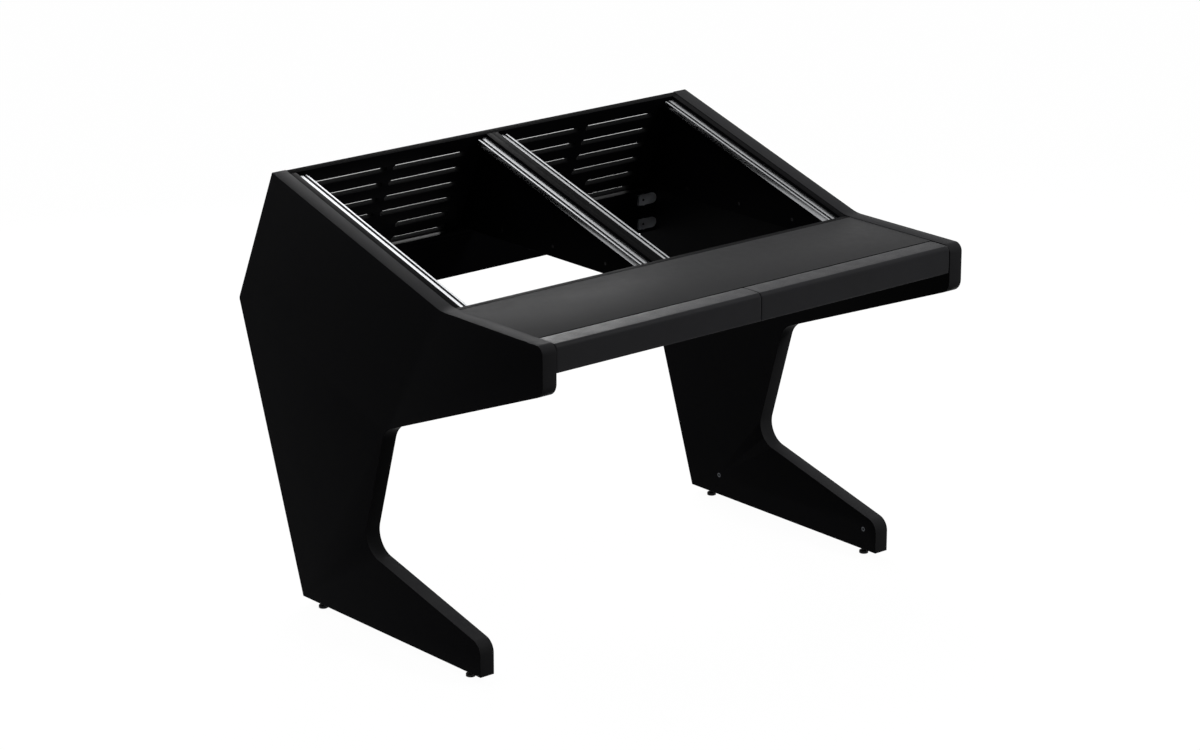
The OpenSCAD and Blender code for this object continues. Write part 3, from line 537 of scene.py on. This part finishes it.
def waves_tree():
    """Geometry Nodes that press waves into a turned piece: a thread if they climb, flutes if they stand."""
    tree = bpy.data.node_groups.new("waves_round_an_axis", "GeometryNodeTree")
    face = tree.interface
    face.new_socket("Geometry", in_out="INPUT", socket_type="NodeSocketGeometry")
    face.new_socket("Axis", in_out="INPUT", socket_type="NodeSocketVector")
    for name in ("Depth", "Waves round", "Turns per metre", "Root", "Crest"):
        face.new_socket(name, in_out="INPUT", socket_type="NodeSocketFloat")
    face.new_socket("Finish", in_out="INPUT", socket_type="NodeSocketMaterial")
    face.new_socket("Geometry", in_out="OUTPUT", socket_type="NodeSocketGeometry")
    given = add(tree, "NodeGroupInput").outputs
    point = add(tree, "GeometryNodeInputPosition").outputs[0]
    place = add(tree, "VectorMath", {0: point, 1: given["Axis"]}, operation="SUBTRACT").outputs[0]
    apart = add(tree, "SeparateXYZ", {0: place}).outputs
    # Where a point is in its wave, from its angle round the axis and its height
    angle = add(tree, "Math", {0: apart[1], 1: apart[0]}, operation="ARCTAN2").outputs[0]
    turn = add(tree, "Math", {0: angle, 1: 2 * math.pi}, operation="DIVIDE").outputs[0]
    waves = add(tree, "Math", {0: turn, 1: given["Waves round"]}, operation="MULTIPLY").outputs[0]
    climb = add(tree, "Math", {0: apart[2], 1: given["Turns per metre"]}, operation="MULTIPLY").outputs[0]
    wound = add(tree, "Math", {0: waves, 1: climb}, operation="SUBTRACT").outputs[0]
    phase = add(tree, "Math", {0: wound}, operation="FRACT").outputs[0]
    # Straight flanks between root and crest, less deep in a row with a smaller share
    ramp = add(tree, "Math", {0: phase, 1: 2.0, 2: -1.0}, operation="MULTIPLY_ADD").outputs[0]
    flank = add(tree, "Math", {0: ramp}, operation="ABSOLUTE").outputs[0]
    groove = add(tree, "MapRange", {"Value": flank, "From Min": given["Root"], "From Max": given["Crest"],
                                    "To Min": -1.0, "To Max": 0.0}).outputs[0]
    share = add(tree, "GeometryNodeInputNamedAttribute", {"Name": "wave_share"},
                data_type="FLOAT").outputs["Attribute"]
    depth = add(tree, "Math", {0: given["Depth"], 1: share}, operation="MULTIPLY").outputs[0]
    amount = add(tree, "Math", {0: groove, 1: depth}, operation="MULTIPLY").outputs[0]
    # Pressed in towards the axis
    level = add(tree, "CombineXYZ", {0: apart[0], 1: apart[1]}).outputs[0]
    out = add(tree, "VectorMath", {0: level}, operation="NORMALIZE").outputs[0]
    pushed = add(tree, "VectorMath", {0: out, "Scale": amount}, operation="SCALE").outputs[0]
    moved = add(tree, "GeometryNodeSetPosition", {"Geometry": given["Geometry"], "Offset": pushed}).outputs[0]
    real = add(tree, "GeometryNodeRealizeInstances", {"Geometry": moved}).outputs[0]
    dressed = add(tree, "GeometryNodeSetMaterial", {"Geometry": real, "Material": given["Finish"]}).outputs[0]
    add(tree, "NodeGroupOutput", {0: dressed})
    return tree


WAVES = waves_tree()


def turned(name, centre, rows, segments):
    """A turned mesh about an upright axis, closed at its ends. Rows: radius, height, share of the waves."""
    bm = bmesh.new()
    share = bm.verts.layers.float.new("wave_share")
    rings = []
    for radius, height, part in rows:
        angles = [2 * math.pi * k / segments for k in range(segments)] if radius else [0]
        ring = [bm.verts.new((centre.x + radius * math.cos(a), centre.y + radius * math.sin(a), height))
                for a in angles]
        for vert in ring:
            vert[share] = part
        rings.append(ring)
    for low, high in zip(rings, rings[1:]):
        for k in range(segments):
            corners = [low[k % len(low)], low[(k + 1) % len(low)],
                       high[(k + 1) % len(high)], high[k % len(high)]]
            bm.faces.new(list(dict.fromkeys(corners)))
    bmesh.ops.recalc_face_normals(bm, faces=bm.faces)
    return mesh_of(name, bm)


def waved(mesh, **values):
    """The mesh in nylon with waves pressed in by the Geometry Nodes, as plain mesh."""
    made = placed(mesh.name, mesh)
    presses = made.modifiers.new("waves", "NODES")
    presses.node_group = WAVES
    values["Finish"] = NYLON
    for item in WAVES.interface.items_tree:
        key = item.name.replace(" ", "_")
        if item.in_out == "INPUT" and key in values:
            presses[item.identifier] = values[key]
    made.update_tag()
    shape = bpy.data.meshes.new_from_object(made.evaluated_get(bpy.context.evaluated_depsgraph_get()))
    shape.name = mesh.name
    bpy.data.objects.remove(made)
    crisp(shape)
    return shape


def arc(*steps):
    """Angles of an arc's points, each so many steps on."""
    return [ARC_STEP * k for k in steps]


def stem_rows(low, high, panel_z):
    """Rows of a foot's stem: spigot, neck and the long thread inside the panel."""
    neck_z = low + SPIGOT_LEN
    rows = [(0, low, 0), (SPIGOT_R - SPIGOT_CHAMFER, low, 0), (SPIGOT_R, low + SPIGOT_CHAMFER, 0),
            (SPIGOT_R, neck_z, 0)]
    rows += [(NECK_R - FOOT_SOFT + FOOT_SOFT * math.sin(a), neck_z + FOOT_SOFT - FOOT_SOFT * math.cos(a), 0)
             for a in arc(0, 1, 2, 3)]
    rows += [(NECK_R, panel_z - NECK_CHAMFER, 0), (NECK_R - NECK_CHAMFER, panel_z, 0), (THREAD_R, panel_z, 0)]
    thread_len = high - FOOT_SOFT - panel_z
    steps = round(thread_len / (THREAD_PITCH / THREAD_STEPS))
    for k in range(1, steps + 1):
        up = thread_len * k / steps
        # The thread runs out over its first turn above the neck
        rows.append((THREAD_R, panel_z + up, min(1.0, up / THREAD_PITCH)))
    return rows + [(THREAD_R - FOOT_SOFT, high, 0), (0, high, 0)]


def foot_pad_rows(low, high, radius):
    """Rows of a foot pad: a flat sole, a fluted rim and a rounded shoulder round the stem's socket."""
    soft_r = radius - FOOT_SOFT
    side = high - low - 2 * FOOT_SOFT
    rim = [(soft_r + FOOT_SOFT * math.cos(a), low + FOOT_SOFT + FOOT_SOFT * math.sin(a))
           for a in arc(-3, -2, -1, 0)]
    rim += [(radius, low + FOOT_SOFT + side * up) for up in (0.25, 0.5, 0.75)]
    rim += [(soft_r + FOOT_SOFT * math.sin(a), high - FOOT_SOFT + FOOT_SOFT * math.cos(a))
            for a in arc(3, 2, 1, 0)]
    rows = [(0, low, 0), (radius - SOLE_RING, low, 0)]
    # The flutes fade out over the rounded edges
    rows += [(r, z, max(0.0, (r - soft_r) / FOOT_SOFT)) for r, z in rim]
    floor_z = high - SOCKET_DEPTH
    return rows + [(SOCKET_R + SOCKET_CHAMFER, high, 0), (SOCKET_R, high - SOCKET_CHAMFER, 0),
                   (SOCKET_R, floor_z, 0), (0, floor_z, 0)]


panel_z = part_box("left_side_panel")[0].z
for foot in ("front_left_foot", "front_right_foot", "rear_left_foot", "rear_right_foot"):
    low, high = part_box(foot + "_stem")
    axis = Vector(((low.x + high.x) / 2, (low.y + high.y) / 2, 0))
    mesh = turned(foot + "_screw", axis, stem_rows(low.z, high.z, panel_z), STEM_SEGMENTS)
    mesh = waved(mesh, Axis=axis, Depth=THREAD_DEPTH, Waves_round=1.0, Turns_per_metre=1 / THREAD_PITCH,
                 Root=THREAD_ROOT, Crest=THREAD_CREST)
    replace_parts(piece(foot + "_screw", mesh, foot + "_stem_body"), foot + "_stem")
    low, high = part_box(foot + "_pad")
    rows = foot_pad_rows(low.z, high.z, (high.x - low.x) / 2)
    mesh = turned(foot + "_disc", axis, rows, FLUTES * FLUTE_SEGMENTS)
    mesh = waved(mesh, Axis=axis, Depth=FLUTE_DEPTH, Waves_round=float(FLUTES), Turns_per_metre=0.0,
                 Root=FLUTE_ROOT, Crest=FLUTE_CREST)
    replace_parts(piece(foot + "_disc", mesh, foot + "_pad_body"), foot + "_pad")


# Armrests

def stretch_of(start, end):
    """Points from start to end, both left out, about a step apart."""
    count = max(1, round((end - start).length / PAD_STEP))
    return [start.lerp(end, k / count) for k in range(1, count)]


def crowned(points, away):
    """The same points, moved out in a crown that rises near their ends and is nearly flat between them."""
    return [p + away * PAD_CROWN * math.sqrt(math.sin(math.pi * (k + 1) / (len(points) + 1)))
            for k, p in enumerate(points)]


def pad_section(front, back, low, high):
    """Closed outline of the padding, in depth and height, and for each point whether its filling moves it."""
    turn = math.pi / 2 - PAD_CREASE
    arc_y = front + PAD_RADIUS
    arc_z = high - PAD_RADIUS * math.sin(turn)
    under_front = Vector((front + PAD_TIGHT, low))
    face_low = Vector((front, low + PAD_TIGHT))
    crease = Vector((arc_y - PAD_RADIUS * math.cos(turn), high))
    top_back = Vector((back - PAD_REAR, high))
    rear_high = Vector((back, high - PAD_REAR))
    rear_low = Vector((back, low))
    angles = [turn * k / PAD_ARC_STEPS for k in range(PAD_ARC_STEPS)] + [turn - PAD_FOLD / PAD_RADIUS]
    *rounding, before_crease = [Vector((arc_y - PAD_RADIUS * math.cos(a), arc_z + PAD_RADIUS * math.sin(a)))
                                for a in angles]
    under = [rear_low] + stretch_of(rear_low, under_front)
    under += [under_front, Vector((front + PAD_TIGHT_MIDDLE, low + PAD_TIGHT_MIDDLE)), face_low]
    face = crowned(stretch_of(face_low, Vector((front, arc_z))), Vector((-1, 0))) + rounding
    fold = [before_crease, crease, crease + Vector((PAD_FOLD, 0))]
    top = crowned(stretch_of(crease, top_back), Vector((0, 1)))
    rear = [top_back, Vector((back - PAD_REAR_MIDDLE, high - PAD_REAR_MIDDLE)), rear_high]
    rear += stretch_of(rear_high, rear_low)
    parts = ((under, False), (face, True), (fold, False), (top, True), (rear, False))
    return [(point, can_swell) for points, can_swell in parts for point in points]


def padding(name, low, high):
    """The padding's closed mesh in its node's box, and the points that its filling can push out."""
    section = pad_section(low.y + PAD_INSET, high.y, low.z, high.z - PAD_INSET)
    middle = Vector(((low.y + high.y) / 2, (low.z + high.z) / 2))
    half = Vector(((high.y - low.y) / 2, (high.z - low.z) / 2))
    length = high.x - low.x
    ends = [(d * MM, draw * MM) for d, draw in PAD_ENDS]
    level_from = ends[-1][0]
    level = length - 2 * level_from
    count = round(level / PAD_STEP)
    places = ends + [(level_from + level * k / count, 0.0) for k in range(1, count)]
    places += [(length - d, draw) for d, draw in reversed(ends)]
    bm = bmesh.new()
    rings = []
    free = []
    for along, draw in places:
        ring = []
        for point, can_swell in section:
            at = point - middle
            at = middle + Vector((at.x * (1 - draw / half.x), at.y * (1 - draw / half.y)))
            ring.append(bm.verts.new((low.x + along, at.x, at.y)))
            if can_swell and draw == 0.0:
                free.append(ring[-1])
        rings.append(ring)
    size = len(section)
    for near, far in zip(rings, rings[1:]):
        for k in range(size):
            bm.faces.new((near[k], near[(k + 1) % size], far[(k + 1) % size], far[k]))
    bm.faces.new(rings[0])
    bm.faces.new(rings[-1])
    bmesh.ops.recalc_face_normals(bm, faces=bm.faces)
    bm.verts.index_update()
    loose = {v.index for v in free}
    return mesh_of(name, bm), loose


def swell(made, loose):
    """Runs the filling's pressure against the cover as cloth, and moves its points by a capped share."""
    held = made.vertex_groups.new(name="held")
    held.add([v.index for v in made.data.vertices if v.index not in loose], 1.0, "REPLACE")
    cloth = made.modifiers.new("filling", "CLOTH")
    for key, value in COVER_CLOTH.items():
        setattr(cloth.settings, key, value)
    cloth.settings.vertex_group_mass = held.name
    cloth.settings.effector_weights.gravity = 0
    cloth.collision_settings.use_collision = False
    for step in range(1, CLOTH_STEPS + 1):
        scene.frame_set(step)
    ended = made.evaluated_get(bpy.context.evaluated_depsgraph_get()).data
    moves = [a.co - b.co for a, b in zip(ended.vertices, made.data.vertices)]
    made.modifiers.remove(cloth)
    scene.frame_set(1)
    share = min(1.0, PAD_SWELL / max(move.length for move in moves))
    for vert, move in zip(made.data.vertices, moves):
        vert.co += move * share


def core_pocket(core):
    """A box round a wooden core that runs out past its back."""
    low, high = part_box(core)
    play = Vector((POCKET_PLAY, POCKET_PLAY, POCKET_PLAY))
    size = high - low + Vector((2 * POCKET_PLAY, POCKET_PLAY + POCKET_PAST, 2 * POCKET_PLAY))
    stretch = Matrix.Translation(low - play + size / 2) @ Matrix.Diagonal((size.x, size.y, size.z, 1))
    bm = bmesh.new()
    bmesh.ops.create_cube(bm, size=1.0, matrix=stretch)
    return placed("pocket", mesh_of("pocket", bm))


def armrest(side):
    """A firm armrest: leatherette over foam and a wooden core, swollen a little between its edges."""
    name = side + "_armrest_cover"
    low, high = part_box(side + "_armrest_pad")
    mesh, loose = padding(name, low, high)
    made = placed(name, mesh)
    swell(made, loose)
    # The cover lies a little unevenly on the foam
    outward = Vector((0, -1, 1)).normalized()
    for index in loose:
        vert = mesh.vertices[index]
        vert.co += outward * PAD_WAVER * (1 + noise.noise(vert.co / PAD_WAVES))
    finer = made.modifiers.new("finer", "SUBSURF")
    finer.levels = finer.render_levels = 1
    pocket = core_pocket(side + "_armrest_core")
    cut = made.modifiers.new("pocket", "BOOLEAN")
    cut.operation = "DIFFERENCE"
    cut.solver = "EXACT"
    cut.object = pocket
    shape = bpy.data.meshes.new_from_object(made.evaluated_get(bpy.context.evaluated_depsgraph_get()))
    bpy.data.objects.remove(made)
    bpy.data.objects.remove(pocket)
    shape.name = name
    shape.materials.clear()
    shape.materials.append(LEATHERETTE)
    crisp(shape, SOFT_SMOOTH)
    cover = piece(name, shape, "desk")
    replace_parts(cover, side + "_armrest_pad")


armrest("left")
armrest("right")


# Floor, light and camera

def seen(tree):
    """1 for rays from the camera, straight or by way of metal or glass, and 0 for rays that only light."""
    rays = add(tree, "LightPath").outputs
    glossy = rays["Is Glossy Ray"]
    clear = rays["Is Transmission Ray"]
    either = add(tree, "Math", {0: rays["Is Camera Ray"], 1: glossy}, operation="MAXIMUM").outputs[0]
    return add(tree, "Math", {0: either, 1: clear}, operation="MAXIMUM").outputs[0]


def studio_floor():
    """A pale floor that shows white and keeps a soft shadow."""
    mesh = bpy.data.meshes.new("floor")
    far = FLOOR_REACH
    mesh.from_pydata([(-far, -far, 0), (far, -far, 0), (far, far, 0), (-far, far, 0)], [], [(0, 1, 2, 3)])
    floor = placed("floor", mesh)
    made = bpy.data.materials.new("pale_floor")
    made.use_nodes = True
    tree = made.node_tree
    tree.nodes.clear()
    paint = add(tree, "BsdfDiffuse", {"Color": (FLOOR_PAINT, FLOOR_PAINT, FLOOR_PAINT, 1)}).outputs[0]
    white = add(tree, "Emission", {"Color": (1, 1, 1, 1), "Strength": FLOOR_WHITE}).outputs[0]
    dark = add(tree, "Emission", {"Strength": 0.0}).outputs[0]
    glow = add(tree, "MixShader", {0: seen(tree), 1: dark, 2: white}).outputs[0]
    both = add(tree, "AddShader", {0: paint, 1: glow}).outputs[0]
    add(tree, "OutputMaterial", {"Surface": both})
    mesh.materials.append(made)


def surround():
    """A white surround that gives the desk little light."""
    world = bpy.data.worlds.new("studio")
    scene.world = world
    world.use_nodes = True
    tree = world.node_tree
    tree.nodes.clear()
    white = add(tree, "Background", {"Color": (1, 1, 1, 1), "Strength": 1.0}).outputs[0]
    faint = add(tree, "Background", {"Color": (1, 1, 1, 1), "Strength": SURROUND_LIGHT}).outputs[0]
    mixed = add(tree, "MixShader", {0: seen(tree), 1: faint, 2: white}).outputs[0]
    add(tree, "OutputWorld", {"Surface": mixed})


def lamps():
    """The lit ceiling and the softboxes."""
    ceiling = bpy.data.lights.new("ceiling", "SUN")
    ceiling.energy = CEILING_LIGHT
    ceiling.angle = CEILING_SPREAD
    placed("ceiling", ceiling).rotation_euler = CEILING_LEAN
    for name, size, watts, place, target in SOFTBOXES:
        softbox = bpy.data.lights.new(name, "AREA")
        softbox.shape = "SQUARE"
        softbox.size = size
        softbox.energy = watts
        holder = placed(name, softbox)
        holder.location = place
        holder.rotation_euler = (Vector(target) - Vector(place)).to_track_quat("-Z", "Y").to_euler()
        holder.visible_camera = False


studio_floor()
surround()
lamps()

camera = bpy.data.cameras.new("camera")
camera.lens = LENS
camera.sensor_width = SENSOR
camera.clip_end = CAMERA_SEES
eye = placed("camera", camera)
eye.location = CAMERA_AT
eye.rotation_euler = CAMERA_TURN
scene.camera = eye
scene.view_settings.view_transform = "Standard"
